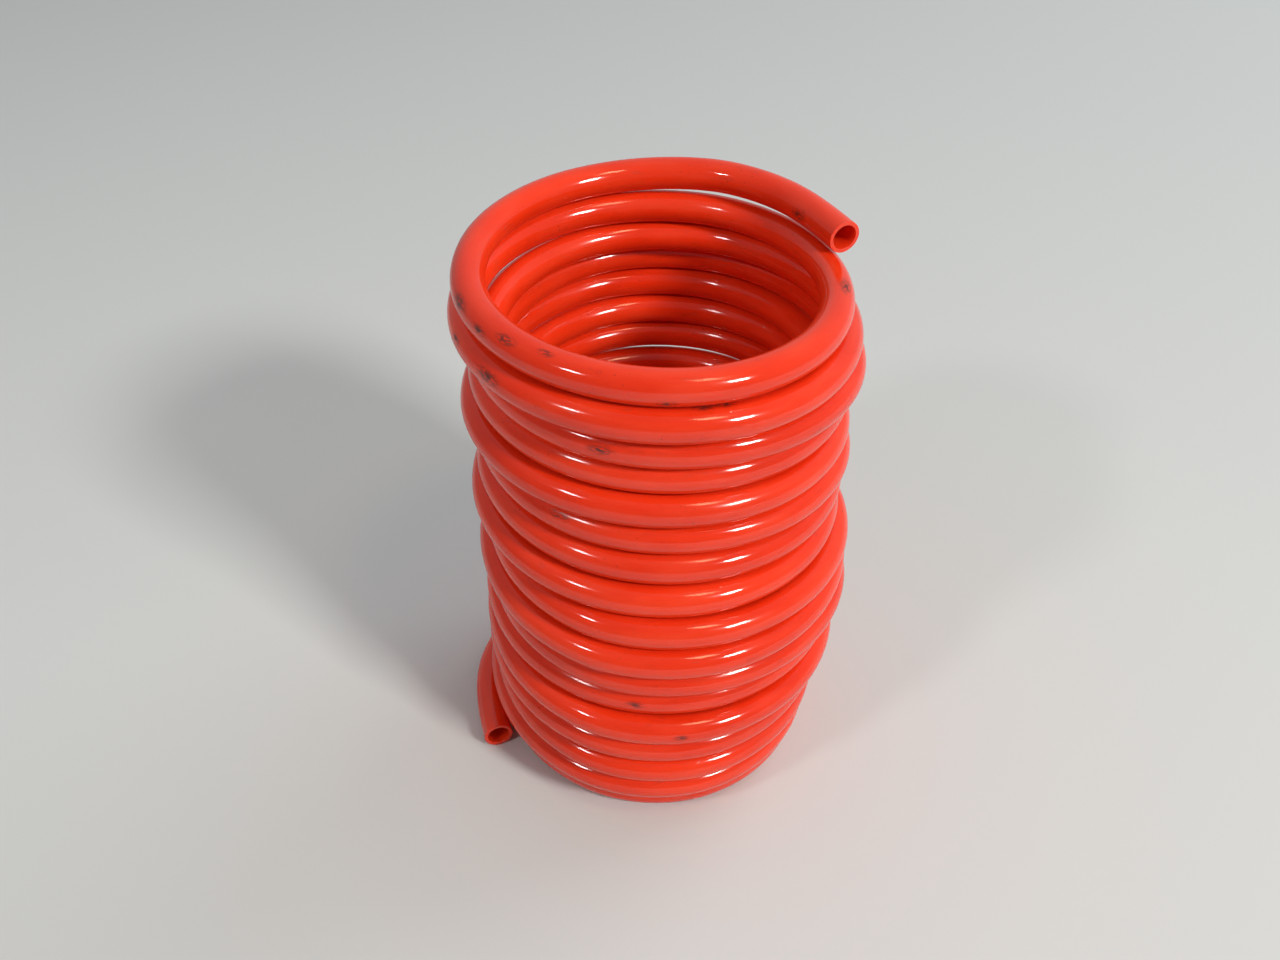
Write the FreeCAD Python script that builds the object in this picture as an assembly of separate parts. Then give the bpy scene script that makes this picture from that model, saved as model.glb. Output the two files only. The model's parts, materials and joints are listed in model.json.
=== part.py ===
"""Recoil air hose: one nylon tube wound into a close coil that stands on its end.

The coil is left-handed, and its axis is parallel to +Z.  The origin lies on the
surface that the hose stands on, under the middle of its box.  Angles along the
hose run clockwise seen from above: 0 at the left (-X), 90 at the back (+Y), 180
at the right (+X) and 270 at the front (-Y), and they grow from turn to turn.

A coil stretches by twisting its tube, so the tube is cut square at the left and
at the right of every turn, and each half turn is a node of its own.
"""
import FreeCAD
import Part
import math
import os

# Driving dimensions, in millimetres
TUBE_OD = 12.7
TUBE_ID = 9.525
COIL_RADIUS = 69.2          # from the coil's axis to the tube's centre line
AXIS = FreeCAD.Vector(1.3, 0.1, 0)      # the coil's axis, off the origin because of the tails
TURN_SPACE = 0.3            # daylight between a turn and the next
TURNS = 17                  # whole turns between the two tails
CORNERS = 12                # route points in one turn
CUT_WIDTH = 0.04            # a cut between two half turns that twist on each other
FIRST_CUT = 1               # the run of the route, counted from 0, that the first cut is in

TUBE_RADIUS = TUBE_OD / 2
BORE_RADIUS = TUBE_ID / 2
PITCH = TUBE_OD + TURN_SPACE
STEP = 360 / CORNERS
QUARTER_TURN = 90
HALF_TURN = 180
FULL_TURN = 360
BACK = 90                   # the angle at the back of the coil
ARC_SHARE = 0.45            # share of the shorter run that an arc takes up

# A smooth line drawn through a ring of corners runs this much inside them
CORNER_OUT = 1 / (0.5 * (math.cos(math.radians(STEP / 2)) + 0.75 + 0.25 * math.cos(math.radians(STEP))))

# How far each turn stands outside COIL_RADIUS, from the floor up:
# at its back, right, front and left
SETTLE = [
    (1, -8, -4, -5),
    (-2, -6, 3, -1),
    (-3, -4, 5, -4),
    (-4, -3, 5, -2),
    (-5, 2, 7, -2),
    (-1, 0, 2, -2),
    (-3, 5, 5, -5),
    (-5, 3, 8, -1),
    (-2, 3, 5, -5),
    (3, -3, 1, 1),
    (4, -3, -3, -2),
    (8, -1, -5, -3),
    (7, -3, -4, 3),
    (8, -5, -7, -1),
    (8, 0, -4, -2),
    (-1, -3, 0, 5),
    (-2, -8, -3, 3),
    (-1, 0, 0, 0),
]

# The two tails: x and y from the coil's axis, and the height above their turn's own level
BOTTOM_TAIL = [
    (-69.0, -38.4, 0),
    (-77.8, -12.5, 0),
    (-75.0, 20.0, 0),
    (-54.5, 53.5, 0),
    (-19.0, 71.0, 0),
]
TOP_TAIL = [
    (16.2, 67.2, 1.7),
    (39.0, 55.0, 1.6),
    (55.5, 37.2, 0.6),
    (65.2, 16.8, -0.4),
]
FIRST_CORNER = BACK + STEP / 2          # the angles of the coil's first corner ...
LAST_CORNER = FULL_TURN * TURNS + BACK - STEP / 2       # ... and of its last


def settle(angle):
    """How far the centre line stands outside COIL_RADIUS at this angle."""
    stations = [shift for turn in SETTLE for shift in turn]
    place = (angle - BACK) / QUARTER_TURN
    before = int(place)
    after = min(before + 1, len(stations) - 1)
    blend = math.sin(math.radians(QUARTER_TURN * (place - before))) ** 2
    return stations[before] * (1 - blend) + stations[after] * blend


def height(angle):
    """Level from the back round to the front, then up one pitch by way of the left."""
    turn, part = divmod(angle - BACK, FULL_TURN)
    climbed = max(part - HALF_TURN, 0) / HALF_TURN
    return TUBE_RADIUS + PITCH * (turn + (1 - math.cos(math.pi * climbed)) / 2)


def coil_corner(angle):
    """One corner of the coil's route, outside the line that it gives."""
    radius = (COIL_RADIUS + settle(angle)) * CORNER_OUT
    turned = math.radians(angle)
    x, y = -radius * math.cos(turned), radius * math.sin(turned)
    return AXIS + FreeCAD.Vector(x, y, height(angle))


def route():
    """The corners of the whole hose, from the bottom mouth to the top mouth."""
    corners = [AXIS + FreeCAD.Vector(x, y, TUBE_RADIUS + up) for x, y, up in BOTTOM_TAIL]
    angle = FIRST_CORNER
    while angle <= LAST_CORNER:
        corners.append(coil_corner(angle))
        angle += STEP
    top = TUBE_RADIUS + PITCH * TURNS
    corners += [AXIS + FreeCAD.Vector(x, y, top + up) for x, y, up in TOP_TAIL]
    return corners


def ring_face(centre, normal):
    """The tube's cross section: a flat ring."""
    rings = [Part.Wire(Part.makeCircle(r, centre, normal)) for r in (TUBE_RADIUS, BORE_RADIUS)]
    return Part.makeFace(rings, "Part::FaceMakerBullseye")


class Bend:
    """The arc that rounds one corner of the route, tangent to both its runs."""

    def __init__(self, before, corner, after):
        into = corner - before
        out_of = after - corner
        trim = ARC_SHARE * min(into.Length, out_of.Length)
        self.turn = into.getAngle(out_of)
        self.radius = trim / math.tan(self.turn / 2)
        into.normalize()
        out_of.normalize()
        self.start = corner - into * trim
        self.end = corner + out_of * trim
        self.direction = into
        self.axis = into.cross(out_of).normalize()
        self.centre = self.start + self.axis.cross(into) * self.radius

    def length(self):
        return self.radius * self.turn

    def solid(self):
        section = ring_face(self.start, self.direction)
        return section.revolve(self.centre, self.axis, math.degrees(self.turn))


def straight_solid(start, end):
    along = end - start
    if along.Length < CUT_WIDTH:
        return None
    return ring_face(start, along).extrude(along)


def middle(a, b):
    return (a + b) * 0.5


class Hose:
    """The tube along the route: straight runs, and an arc round each corner."""

    def __init__(self, corners):
        self.corners = corners
        self.bends = {}
        for i in range(1, len(corners) - 1):
            self.bends[i] = Bend(*corners[i - 1:i + 2])

    def cut(self, run, side=0):
        """The middle of a run, or half a cut's width before (-1) or after (1) it."""
        start, end = self.corners[run:run + 2]
        along = (end - start).normalize()
        return middle(start, end) + along * (side * CUT_WIDTH / 2)

    def piece(self, start, corners, end):
        """The tube from start, round the numbered corners, to end."""
        solids = []
        here = start
        for number in corners:
            bend = self.bends[number]
            solids.append(straight_solid(here, bend.start))
            solids.append(bend.solid())
            here = bend.end
        solids.append(straight_solid(here, end))
        solids = [solid for solid in solids if solid]
        return solids[0].multiFuse(solids[1:]).removeSplitter()

    def length(self, start, corners, end):
        bends = [self.bends[number] for number in corners]
        stops = [start] + [stop for bend in bends for stop in (bend.start, bend.end)] + [end]
        runs = [(b - a).Length for a, b in zip(stops[::2], stops[1::2])]
        return sum(runs) + sum(bend.length() for bend in bends)


def pieces(hose):
    """Every node of the hose, from the bottom mouth up: name, start, corners, end."""
    last = len(hose.corners) - 1
    half = CORNERS // 2
    run = FIRST_CUT
    first_straight = hose.bends[1].start
    last_straight = hose.bends[last - 1].end
    yield "bottom_end", hose.corners[0], (), first_straight
    yield "bottom_tail", first_straight, range(1, run + 1), hose.cut(run)
    for turn in range(1, TURNS + 1):
        for side in ("back", "front"):
            moves = turn > 1
            joined = turn == 1 and side == "back"
            start = hose.cut(run, 1 if moves else 0)
            end = hose.cut(run + half, 0 if joined else -1)
            yield f"turn_{turn:02d}_{side}", start, range(run + 1, run + half + 1), end
            run += half
    yield "top_tail", hose.cut(run, 1), range(run + 1, last), last_straight
    yield "top_end", last_straight, (), hose.corners[last]


def report(name, solid, length):
    section = math.pi * (TUBE_RADIUS ** 2 - BORE_RADIUS ** 2)
    print(f"{name:16s} valid {solid.isValid()}  solids {len(solid.Solids)}  length {length:7.2f} mm"
          f"  volume / (section x length) {solid.Volume / (section * length):.5f}")


os.makedirs("parts", exist_ok=True)
hose = Hose(route())
total = 0
for name, start, corners, end in pieces(hose):
    solid = hose.piece(start, corners, end) if corners else straight_solid(start, end)
    solid.exportStep(f"parts/{name}.step")
    length = hose.length(start, corners, end)
    report(name, solid, length)
    total += length

radii = [bend.radius for bend in hose.bends.values()]
print(f"arc radii {min(radii):.1f} to {max(radii):.1f} mm, centre line {total / 1000:.3f} m")
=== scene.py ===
"""The coiled air hose's looks: one red nylon tube wound into a close coil on a pale floor.

The tube is drawn round one smooth line that runs from the bottom mouth to the top
mouth.  It is cut where the CAD model cuts it, at the left and at the right of every
turn, so that each length rides on the half turn that it belongs to.
"""

import json
import math

import bpy
import numpy as np
from mathutils import Matrix, Vector

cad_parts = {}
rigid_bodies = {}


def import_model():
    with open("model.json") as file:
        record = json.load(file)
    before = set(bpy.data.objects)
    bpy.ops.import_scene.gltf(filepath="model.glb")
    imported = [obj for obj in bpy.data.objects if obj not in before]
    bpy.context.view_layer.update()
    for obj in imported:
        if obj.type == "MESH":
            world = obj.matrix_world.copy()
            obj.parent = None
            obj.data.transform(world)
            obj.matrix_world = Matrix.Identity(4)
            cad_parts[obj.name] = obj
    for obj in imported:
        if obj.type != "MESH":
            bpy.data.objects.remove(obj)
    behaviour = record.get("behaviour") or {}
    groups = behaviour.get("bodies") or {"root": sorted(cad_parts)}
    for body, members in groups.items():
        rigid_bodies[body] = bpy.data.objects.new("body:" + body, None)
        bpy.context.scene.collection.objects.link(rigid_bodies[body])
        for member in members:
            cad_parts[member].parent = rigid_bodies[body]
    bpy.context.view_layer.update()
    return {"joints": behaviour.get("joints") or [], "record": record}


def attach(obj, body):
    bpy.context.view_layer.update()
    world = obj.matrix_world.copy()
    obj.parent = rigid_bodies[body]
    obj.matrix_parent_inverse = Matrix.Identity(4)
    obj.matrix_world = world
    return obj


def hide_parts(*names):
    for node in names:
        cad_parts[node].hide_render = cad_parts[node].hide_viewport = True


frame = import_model()

MM = 0.001

# The hose, in metres
TUBE_OD = 0.0127
TUBE_ID = 0.009525
TUBE_RADIUS = TUBE_OD / 2
BORE_RADIUS = TUBE_ID / 2
COIL_RADIUS = 0.0692        # from the coil's axis to the tube's centre line
AXIS = (0.0013, 0.0001)     # the coil's axis, off the origin because of the tails
TURN_SPACE = 0.0003         # daylight between a turn and the next
PITCH = TUBE_OD + TURN_SPACE
TURNS = 17                  # whole turns between the two tails
CORNERS = 12                # route points in one turn
STEP = 360 / CORNERS
FULL_TURN = 360
HALF_TURN = 180
QUARTER_TURN = 90
BACK = 90                   # the angle at the back of the coil
TUBE_SPACE = "tube_space"   # the mesh attribute that holds each point's place on the straightened tube

# A smooth line drawn through a ring of corners runs this much inside them
CORNER_OUT = 1 / (0.5 * (math.cos(math.radians(STEP / 2)) + 0.75 + 0.25 * math.cos(math.radians(STEP))))

# How far each turn stands outside COIL_RADIUS, from the floor up, in millimetres:
# at its back, right, front and left
SETTLE = [
    (1, -8, -4, -5),
    (-2, -6, 3, -1),
    (-3, -4, 5, -4),
    (-4, -3, 5, -2),
    (-5, 2, 7, -2),
    (-1, 0, 2, -2),
    (-3, 5, 5, -5),
    (-5, 3, 8, -1),
    (-2, 3, 5, -5),
    (3, -3, 1, 1),
    (4, -3, -3, -2),
    (8, -1, -5, -3),
    (7, -3, -4, 3),
    (8, -5, -7, -1),
    (8, 0, -4, -2),
    (-1, -3, 0, 5),
    (-2, -8, -3, 3),
    (-1, 0, 0, 0),
]

# The two tails: x and y from the coil's axis, and the height above their turn's own level
BOTTOM_TAIL = [
    (-0.0690, -0.0384, 0),
    (-0.0778, -0.0125, 0),
    (-0.0750, 0.0200, 0),
    (-0.0545, 0.0535, 0),
    (-0.0190, 0.0710, 0),
]
TOP_TAIL = [
    (0.0162, 0.0672, 0.0017),
    (0.0390, 0.0550, 0.0016),
    (0.0555, 0.0372, 0.0006),
    (0.0652, 0.0168, -0.0004),
]
FIRST_CORNER = BACK + STEP / 2          # the angles of the coil's first corner ...
LAST_CORNER = FULL_TURN * TURNS + BACK - STEP / 2       # ... and of its last

# The tube's mesh
LINE_STEPS = 24             # points on the line for each corner
RINGS = 10                  # rings for each corner
SIDES = 40
RIM = 0.00025               # how far the mouths' edges are rounded
FIRST_CUT = 13              # the runs whose middles are cut: this one ...
RUNS_A_HALF_TURN = CORNERS // 2     # ... and every so many after it
CUT_GAP = 0.000024          # between two lengths, so that their ends don't rub as they twist

# The tube's colours, linear: as drawn, where the light shows it deeper or paler, and its dirt
RED = (0.86, 0.041, 0.008, 1)
RED_DEEP = (0.76, 0.030, 0.005, 1)
RED_PALE = (0.95, 0.080, 0.030, 1)
GRIME = (0.050, 0.012, 0.010, 1)
# Scuffs: metres along the hose, angle round it (0 outward, 90 up), and half their width
SCUFFS = [
    (7.3705, 28, 0.0036),
    (7.3550, 20, 0.0024),
    (7.3430, 47, 0.0028),
    (7.3280, 67, 0.0020),
    (7.2880, -25, 0.0020),
    (7.1950, 67, 0.0036),
    (7.5730, -178, 0.0030),
    (6.9470, 22, 0.0024),
    (6.9250, 18, 0.0038),
    (6.8500, 95, 0.0026),
    (6.8430, 100, 0.0026),
    (6.4595, 12, 0.0030),
    (5.1690, 34, 0.0024),
    (4.1000, 20, 0.0030),
    (2.5110, 14, 0.0022),
    (2.0560, 11, 0.0018),
    (0.3500, 40, 0.0030),
]
SCUFF_SHAPE = 2.2           # how many times longer than wide

FLOOR_WIDTH = 8.0
BRIGHT_SIDE = (0.35, 0.9, 0.2)      # where the room is brightest: the back, a little to the right


def settle(angle):
    """How far the line stands outside COIL_RADIUS at this angle."""
    stations = [shift * MM for turn in SETTLE for shift in turn]
    place = (angle - BACK) / QUARTER_TURN
    before = int(place)
    after = min(before + 1, len(stations) - 1)
    blend = math.sin(math.radians(QUARTER_TURN * (place - before))) ** 2
    return stations[before] * (1 - blend) + stations[after] * blend


def height(angle):
    """Level from the back round to the front, then up one pitch by way of the left."""
    turn, part = divmod(angle - BACK, FULL_TURN)
    climbed = max(part - HALF_TURN, 0) / HALF_TURN
    return TUBE_RADIUS + PITCH * (turn + (1 - math.cos(math.pi * climbed)) / 2)


def coil_corner(angle):
    """One corner of the coil's route, outside the line that it gives."""
    radius = (COIL_RADIUS + settle(angle)) * CORNER_OUT
    turned = math.radians(angle)
    return AXIS[0] - radius * math.cos(turned), AXIS[1] + radius * math.sin(turned), height(angle)


def route():
    """The corners of the whole hose, from the bottom mouth to the top mouth."""
    top = TUBE_RADIUS + PITCH * TURNS
    corners = [(AXIS[0] + x, AXIS[1] + y, TUBE_RADIUS + up) for x, y, up in BOTTOM_TAIL]
    angle = FIRST_CORNER
    while angle <= LAST_CORNER:
        corners.append(coil_corner(angle))
        angle += STEP
    corners += [(AXIS[0] + x, AXIS[1] + y, top + up) for x, y, up in TOP_TAIL]
    return corners


def smooth_line(corners):
    """The points of a smooth NURBS line with these corners as its control points."""
    curve = bpy.data.curves.new("hose_line", "CURVE")
    curve.dimensions = "3D"
    curve.resolution_u = LINE_STEPS
    spline = curve.splines.new("NURBS")
    spline.points.add(len(corners) - 1)
    for point, corner in zip(spline.points, corners):
        point.co = (*corner, 1)
    spline.order_u = 3
    spline.use_endpoint_u = True
    bare = bpy.data.objects.new("hose_line", curve)
    mesh = bpy.data.meshes.new_from_object(bare)
    points = np.array([v.co for v in mesh.vertices])
    bpy.data.meshes.remove(mesh)
    bpy.data.curves.remove(curve)
    return points


class Line:
    """The hose's centre line. Place n + 1/2 is level with corner n, and place n the middle of run n."""

    def __init__(self, corners):
        self.points = smooth_line(corners)
        self.end = len(corners) - 2
        self.index = np.arange(len(self.points))
        gaps = np.linalg.norm(np.diff(self.points, axis=0), axis=1)
        self.along = np.concatenate([[0], np.cumsum(gaps)])

    def at(self, places):
        index = np.clip(np.asarray(places, float), 0, self.end) * (len(self.points) - 1) / self.end
        return np.stack([np.interp(index, self.index, self.points[:, k]) for k in range(3)], axis=1)

    def reached(self, places):
        """How far along the hose each place is, in metres."""
        index = np.asarray(places, float) * (len(self.points) - 1) / self.end
        return np.interp(index, self.index, self.along)

    def heading(self, places):
        near = 2 * self.end / (len(self.points) - 1)
        step = self.at(np.asarray(places) + near) - self.at(np.asarray(places) - near)
        return step / np.linalg.norm(step, axis=1)[:, None]


def closing(place, mouth):
    """The rows that close the wall at its far end, from the outside in.

    A row is (place, how far past it, radius, normal before, normal after); a normal
    is an angle in degrees: 0 outward, 90 ahead along the tube, 180 inward.
    """
    if not mouth:
        return [(place, -CUT_GAP / 2, TUBE_RADIUS, 0, 90), (place, -CUT_GAP / 2, BORE_RADIUS, 90, 180)]
    rows = []
    for middle, angles in ((TUBE_RADIUS - RIM, (0, 30, 60, 90)), (BORE_RADIUS + RIM, (90, 120, 150, 180))):
        for angle in angles:
            turned = math.radians(angle)
            rows.append((place, RIM * (math.sin(turned) - 1), middle + RIM * math.cos(turned), angle, angle))
    return rows


def wall_rows(first, last, mouth_first, mouth_last):
    """All the rows round the wall's section, a closed loop: out along the outside, back along the bore."""
    between = np.linspace(first, last, (last - first) * RINGS + 1)[1:-1]
    near = [(place, -past, radius, 360 - after, 360 - before)
            for place, past, radius, before, after in reversed(closing(first, mouth_first))]
    outside = [(place, 0, TUBE_RADIUS, 0, 0) for place in between]
    bore = [(place, 0, BORE_RADIUS, 180, 180) for place in reversed(between)]
    return near[-1:] + outside + closing(last, mouth_last) + bore + near[:-1]


def tube(name, line, first, last, mouth_first=False, mouth_last=False):
    """A length of the hose between two places on its line, as a closed mesh."""
    rows = wall_rows(first, last, mouth_first, mouth_last)
    places, past, radii, before, after = (np.array(column, float) for column in zip(*rows))
    ahead = line.heading(places)
    out = np.cross((0, 0, 1), ahead)
    out /= np.linalg.norm(out, axis=1)[:, None]
    up = np.cross(ahead, out)
    turned = np.arange(SIDES) * 2 * math.pi / SIDES
    radial = np.cos(turned)[None, :, None] * out[:, None] + np.sin(turned)[None, :, None] * up[:, None]
    centres = line.at(places) + ahead * past[:, None]
    points = centres[:, None] + radial * radii[:, None, None]

    def normals(angles):
        lean = np.radians(angles)
        return np.cos(lean)[:, None, None] * radial + np.sin(lean)[:, None, None] * ahead[:, None]

    leaving, arriving = normals(after), normals(before)
    row, side = np.meshgrid(np.arange(len(rows)), np.arange(SIDES), indexing="ij")
    next_row, next_side = (row + 1) % len(rows), (side + 1) % SIDES
    corners = [(row, side), (row, next_side), (next_row, next_side), (next_row, side)]
    faces = np.stack([a * SIDES + b for a, b in corners], axis=2).reshape(-1, 4)
    loops = np.stack([leaving[row, side], leaving[row, next_side],
                      arriving[next_row, next_side], arriving[next_row, side]], axis=2)

    mesh = bpy.data.meshes.new(name)
    mesh.from_pydata(points.reshape(-1, 3).tolist(), [], faces.tolist())
    mesh.shade_smooth()
    mesh.normals_split_custom_set(loops.reshape(-1, 3).tolist())
    wrapped = np.zeros((len(rows), SIDES, 3))
    wrapped[..., 0] = np.cos(turned) * radii[:, None]
    wrapped[..., 1] = np.sin(turned) * radii[:, None]
    wrapped[..., 2] = (line.reached(places) + past)[:, None]
    attribute = mesh.attributes.new(TUBE_SPACE, "FLOAT_VECTOR", "POINT")
    attribute.data.foreach_set("vector", wrapped.ravel())
    mesh.validate()
    piece = bpy.data.objects.new(name, mesh)
    bpy.context.scene.collection.objects.link(piece)
    return piece


def node(tree, kind, inputs, output=0, **settings):
    """An output of a new shader node, with its inputs set to values or linked to other outputs."""
    made = tree.nodes.new(kind)
    for name, value in settings.items():
        setattr(made, name, value)
    for socket, value in inputs.items():
        if isinstance(value, bpy.types.NodeSocket):
            tree.links.new(value, made.inputs[socket])
        else:
            made.inputs[socket].default_value = value
    return made.outputs[output]


def maths(tree, operation, a, b):
    return node(tree, "ShaderNodeMath", {0: a, 1: b}, operation=operation)


def stretched(tree, place, scale):
    return node(tree, "ShaderNodeVectorMath", {0: place, 1: scale}, operation="MULTIPLY")


def smooth_range(tree, value, low, high):
    """0 where the value is low and 1 where it is high, with a smooth step between."""
    return node(tree, "ShaderNodeMapRange", {"Value": value, "From Min": low, "From Max": high},
                interpolation_type="SMOOTHSTEP")


def mottle(tree, place, scale, low, high, detail=3, rough=0.5):
    """Noise over the tube, 0 where it is under low and 1 where it is over high.

    The scale is across the tube, then along it, in 1/m.
    """
    across, along = scale
    noise = node(tree, "ShaderNodeTexNoise", {"Vector": stretched(tree, place, (across, across, along)),
                                              "Scale": 1, "Detail": detail, "Roughness": rough})
    return smooth_range(tree, noise, low, high)


def mixed(tree, share, a, b):
    """Colour a, turning to colour b by the share.

    A Mix node takes its colours at inputs 6 and 7, and gives the result at output 2.
    """
    return node(tree, "ShaderNodeMix", {0: share, 6: a, 7: b}, output=2, data_type="RGBA")


def scuffed(tree, place):
    """1 in the middle of each scuff, fading to 0 at its edge."""
    flat = stretched(tree, place, (1, 1, 1 / SCUFF_SHAPE))
    total = 0
    for along, angle, reach in SCUFFS:
        turned = math.radians(angle)
        middle = (TUBE_RADIUS * math.cos(turned), TUBE_RADIUS * math.sin(turned), along / SCUFF_SHAPE)
        away = node(tree, "ShaderNodeVectorMath", {0: flat, 1: middle}, output="Value", operation="DISTANCE")
        total = maths(tree, "MAXIMUM", total, smooth_range(tree, away, reach, 0))
    return total


def hose_material():
    """Glossy red nylon, handled and a little dusty."""
    material = bpy.data.materials.new("red_nylon")
    material.use_nodes = True
    tree = material.node_tree
    shader = tree.nodes["Principled BSDF"]
    place = node(tree, "ShaderNodeAttribute", {}, output="Vector", attribute_name=TUBE_SPACE)

    batch = mottle(tree, place, (45, 14), 0.35, 0.65)
    blush = mottle(tree, place, (160, 40), 0.4, 0.7, detail=5)
    drawn = mottle(tree, place, (1500, 9), 0.3, 0.7, detail=2)
    grime = mottle(tree, place, (260, 90), 0.6, 0.78, detail=6, rough=0.65)
    specks = mottle(tree, place, (1500, 1100), 0.72, 0.78, detail=1)
    speck_areas = mottle(tree, place, (70, 30), 0.52, 0.62)
    broken = mottle(tree, place, (1300, 420), 0.40, 0.52, detail=4, rough=0.6)
    scuffs = maths(tree, "MULTIPLY", scuffed(tree, place), broken)
    specks = maths(tree, "MULTIPLY", specks, speck_areas)

    colour = mixed(tree, batch, RED_DEEP, RED)
    colour = mixed(tree, maths(tree, "MULTIPLY", blush, 0.25), colour, RED_PALE)
    dirt = maths(tree, "MAXIMUM", maths(tree, "MULTIPLY", grime, 0.3), maths(tree, "MULTIPLY", scuffs, 0.9))
    dirt = maths(tree, "MAXIMUM", dirt, maths(tree, "MULTIPLY", specks, 0.8))
    tree.links.new(mixed(tree, dirt, colour, GRIME), shader.inputs["Base Color"])

    polish = node(tree, "ShaderNodeMapRange", {"Value": blush, "To Min": 0.08, "To Max": 0.15})
    worn = maths(tree, "MULTIPLY", maths(tree, "MAXIMUM", scuffs, grime), 0.3)
    fine = maths(tree, "MULTIPLY", drawn, 0.03)
    tree.links.new(maths(tree, "ADD", maths(tree, "ADD", polish, worn), fine), shader.inputs["Roughness"])

    ripple = mottle(tree, place, (110, 60), 0.2, 0.8, detail=2)
    relief = maths(tree, "ADD", ripple, maths(tree, "MULTIPLY", drawn, 0.06))
    relief = maths(tree, "ADD", relief, maths(tree, "MULTIPLY", scuffs, 0.08))
    bump = node(tree, "ShaderNodeBump", {"Height": relief, "Strength": 0.35, "Distance": 0.0001})
    tree.links.new(bump, shader.inputs["Normal"])
    shader.inputs["IOR"].default_value = 1.53
    return material


def make_pieces(line, material):
    """The hose, a piece for each CAD body, from the bottom mouth up."""
    bodies = [frame["joints"][0]["parent"]] + [joint["child"] for joint in frame["joints"]]
    members = frame["record"]["behaviour"]["bodies"]
    cuts = [0] + [FIRST_CUT + RUNS_A_HALF_TURN * number for number in range(len(bodies) - 1)] + [line.end]
    for body, first, last in zip(bodies, cuts, cuts[1:]):
        bottom, top = body == bodies[0], body == bodies[-1]
        piece = tube("hose_" + body, line, first, last, bottom, top)
        piece.data.materials.append(material)
        path = line.at(np.linspace(first, last, (last - first) * RINGS + 1))
        length = float(line.reached(last) - line.reached(first))
        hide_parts(*members[body])
        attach(piece, body)


def make_floor():
    """A plain pale floor."""
    material = bpy.data.materials.new("floor")
    material.use_nodes = True
    shader = material.node_tree.nodes["Principled BSDF"]
    shader.inputs["Base Color"].default_value = (0.625, 0.65, 0.655, 1)
    shader.inputs["Roughness"].default_value = 0.9
    mesh = bpy.data.meshes.new("floor")
    half = FLOOR_WIDTH / 2
    corners = [(-half, -half, 0), (half, -half, 0), (half, half, 0), (-half, half, 0)]
    mesh.from_pydata(corners, [], [(0, 1, 2, 3)])
    mesh.materials.append(material)
    floor = bpy.data.objects.new("floor", mesh)
    bpy.context.scene.collection.objects.link(floor)


def area_light(name, place, target, size, power, colour, glossy=True):
    data = bpy.data.lights.new(name, "AREA")
    data.shape = "RECTANGLE"
    data.size, data.size_y = size
    data.energy = power
    data.color = colour
    light = bpy.data.objects.new(name, data)
    light.location = place
    light.rotation_euler = (Vector(target) - Vector(place)).to_track_quat("-Z", "Y").to_euler()
    light.visible_camera = False
    light.visible_glossy = glossy
    bpy.context.scene.collection.objects.link(light)


def make_room():
    """An even pale room, brighter at the back and at the right."""
    world = bpy.data.worlds.new("studio")
    bpy.context.scene.world = world
    world.use_nodes = True
    tree = world.node_tree
    direction = node(tree, "ShaderNodeTexCoord", {}, output="Generated")
    facing = node(tree, "ShaderNodeVectorMath", {0: direction, 1: BRIGHT_SIDE}, output="Value",
                  operation="DOT_PRODUCT")
    strength = node(tree, "ShaderNodeMapRange", {"Value": facing, "From Min": -0.6, "From Max": 0.8,
                                                 "To Min": 0.17, "To Max": 0.46})
    background = tree.nodes["Background"]
    tree.links.new(strength, background.inputs["Strength"])
    background.inputs["Color"].default_value = (0.97, 0.99, 1, 1)


def make_light():
    """Softboxes at the right and at the left of the front, a warm lamp above, and a pale room."""
    bpy.context.scene.view_settings.view_transform = "Standard"
    make_room()
    area_light("key", (1.756, -1.581, 1.847), (0, 0, 0.1), (0.50, 0.42), 55, (1, 0.97, 0.92))
    area_light("fill", (-0.93, -0.90, 1.25), (0, 0, 0.15), (0.20, 0.16), 5, (1, 0.98, 0.96))
    area_light("lamp", (0.50, -0.56, 1.65), (0, 0, 0.15), (0.28, 0.30), 2.8, (1, 0.72, 0.42))
    area_light("sky", (2.4, 1.9, 2.0), (1.0, 0.9, 0), (2.4, 1.8), 40, (0.96, 0.99, 1), glossy=False)


def make_camera():
    """In front of the coil and above it, looking down into it."""
    data = bpy.data.cameras.new("camera")
    data.sensor_width = 36
    data.lens = 32.98
    data.clip_start = 0.01
    data.clip_end = 100
    camera = bpy.data.objects.new("camera", data)
    down, roll = 38.35, 1.32
    camera.matrix_world = (Matrix.Translation((AXIS[0] - 0.00827, AXIS[1] - 0.37915, 0.42390))
                           @ Matrix.Rotation(math.radians(90 - down), 4, "X")
                           @ Matrix.Rotation(math.radians(roll), 4, "Z"))
    bpy.context.scene.collection.objects.link(camera)
    bpy.context.scene.camera = camera


make_camera()
make_pieces(Line(route()), hose_material())
make_floor()
make_light()
